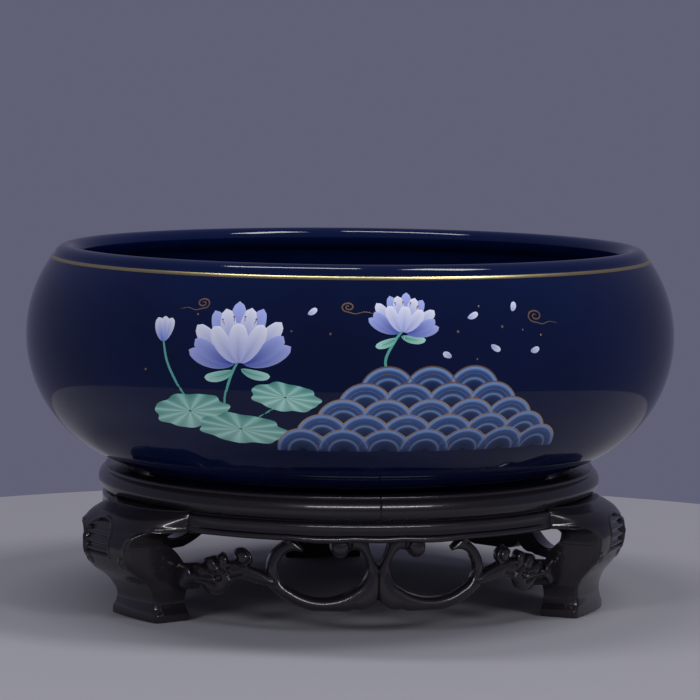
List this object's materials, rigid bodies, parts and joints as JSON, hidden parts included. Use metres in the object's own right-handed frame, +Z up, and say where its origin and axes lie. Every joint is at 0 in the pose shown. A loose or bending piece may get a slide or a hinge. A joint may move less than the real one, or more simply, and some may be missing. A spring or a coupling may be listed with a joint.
{
  "type": "jardiniere on stand",
  "caption": "Squat round ceramic planter bowl with an in-turned lip, resting on a low carved openwork wooden stand with cabriole legs.",
  "frame": {"origin": "on the floor, on the common axis of bowl and stand", "axes": "+Z up, -Y towards the middle of the stand's front panel, with the rear leg at +Y"},
  "size_m": [0.3599, 0.36, 0.1959],
  "materials": {
    "glaze": "glossy deep blue glaze",
    "lacquered_wood": "satin black lacquer",
    "bare_wood": "bare, glued"
  },
  "bodies": {
    "stand": {"seat_board": "lacquered_wood", "board_batten": "lacquered_wood", "rim_front_left": "lacquered_wood", "rim_front_right": "lacquered_wood", "rim_rear": "lacquered_wood", "rim_key_front": "bare_wood", "rim_key_rear_right": "bare_wood", "rim_key_rear_left": "bare_wood", "apron_front": "lacquered_wood", "apron_rear_right": "lacquered_wood", "apron_rear_left": "lacquered_wood", "scroll_front": "lacquered_wood", "scroll_rear_right": "lacquered_wood", "scroll_rear_left": "lacquered_wood", "leg_front_left": "lacquered_wood", "leg_front_right": "lacquered_wood", "leg_rear": "lacquered_wood", "leg_dowels": "bare_wood", "apron_dowels": "bare_wood", "scroll_dowels": "bare_wood"},
    "bowl": {"bowl": "glaze"}
  },
  "joints": [
    {"name": "bowl_lift", "type": "slide", "parent": "stand", "child": "bowl", "axis": [0, 0, 1], "range_m": [0, 0.15]}
  ]
}
